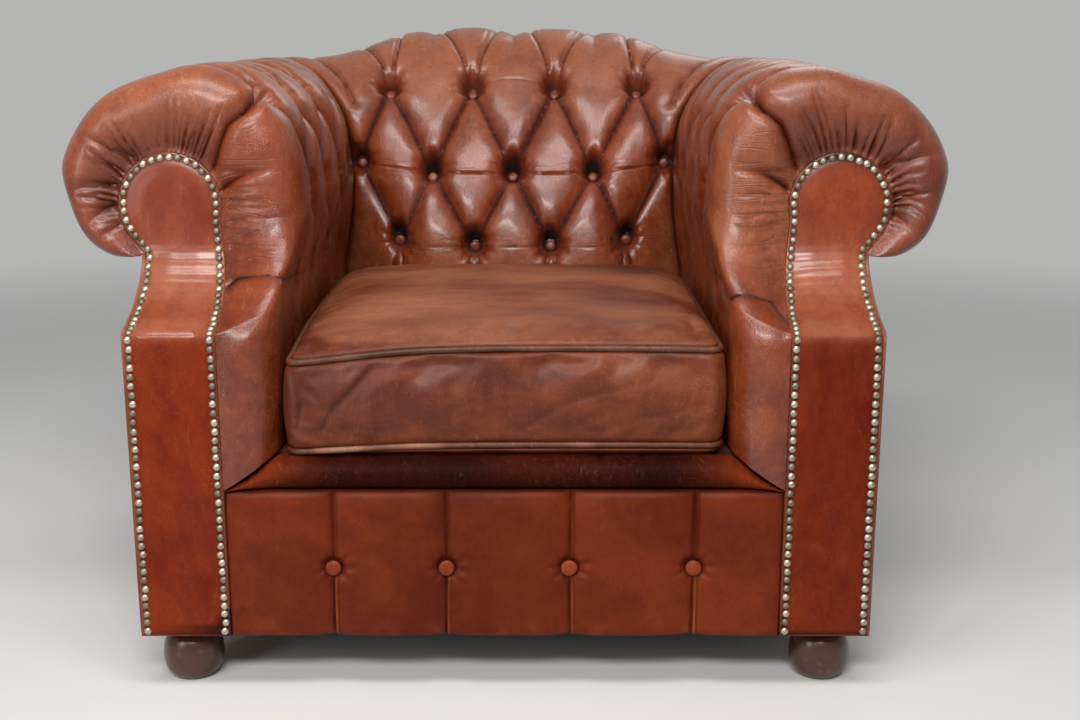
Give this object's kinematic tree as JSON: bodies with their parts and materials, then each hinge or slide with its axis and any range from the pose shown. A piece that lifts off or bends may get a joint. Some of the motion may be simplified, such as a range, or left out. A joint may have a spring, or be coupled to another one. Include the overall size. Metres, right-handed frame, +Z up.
{
  "type": "deep-buttoned club chair",
  "caption": "Worn tan leather club chair with scroll arms, deep-buttoned back and arms, nailed facings, loose piped cushion and turned bun feet",
  "frame": {"origin": "on the floor under the middle of the chair's bounding box", "axes": "+X to the right seen from the front, the front faces -Y, +Z up"},
  "size_m": [1.052, 0.8768, 0.767],
  "materials": {
    "leather": "waxed tan hide, worn and creased",
    "cushion_leather": "matte brown hide with dark patina",
    "button_leather": "covered buttons",
    "frame_wood": "sawn beech",
    "foot_wood": "dark red-brown polish",
    "webbing": "woven jute",
    "lining": "black cloth"
  },
  "bodies": {
    "root": {"arm_rail_left": "frame_wood", "arm_rail_right": "frame_wood", "back_button_01": "button_leather", "back_button_02": "button_leather", "back_button_03": "button_leather", "back_button_04": "button_leather", "back_button_05": "button_leather", "back_button_06": "button_leather", "back_button_07": "button_leather", "back_button_08": "button_leather", "back_button_09": "button_leather", "back_button_10": "button_leather", "back_button_11": "button_leather", "back_button_12": "button_leather", "back_button_13": "button_leather", "back_post_left": "frame_wood", "back_post_right": "frame_wood", "back_top_rail": "frame_wood", "border_button_1": "button_leather", "border_button_2": "button_leather", "border_button_3": "button_leather", "border_button_4": "button_leather", "cross_webbing_1": "webbing", "cross_webbing_2": "webbing", "cross_webbing_3": "webbing", "cushion_piping_bottom": "cushion_leather", "cushion_piping_top": "cushion_leather", "dust_cover": "lining", "facing_left": "leather", "facing_right": "leather", "foot_front_left": "foot_wood", "foot_front_right": "foot_wood", "foot_rear_left": "foot_wood", "foot_rear_right": "foot_wood", "front_border": "leather", "front_lip": "leather", "front_post_left": "frame_wood", "front_post_right": "frame_wood", "inside_arm_left": "leather", "inside_arm_right": "leather", "inside_back": "leather", "long_webbing_1": "webbing", "long_webbing_2": "webbing", "long_webbing_3": "webbing", "long_webbing_4": "webbing", "outside_arm_left": "leather", "outside_arm_right": "leather", "outside_back": "leather", "seat_cushion": "cushion_leather", "seat_deck": "lining", "seat_rail_back": "frame_wood", "seat_rail_front": "frame_wood", "seat_rail_left": "frame_wood", "seat_rail_right": "frame_wood"}
  },
  "joints": []
}
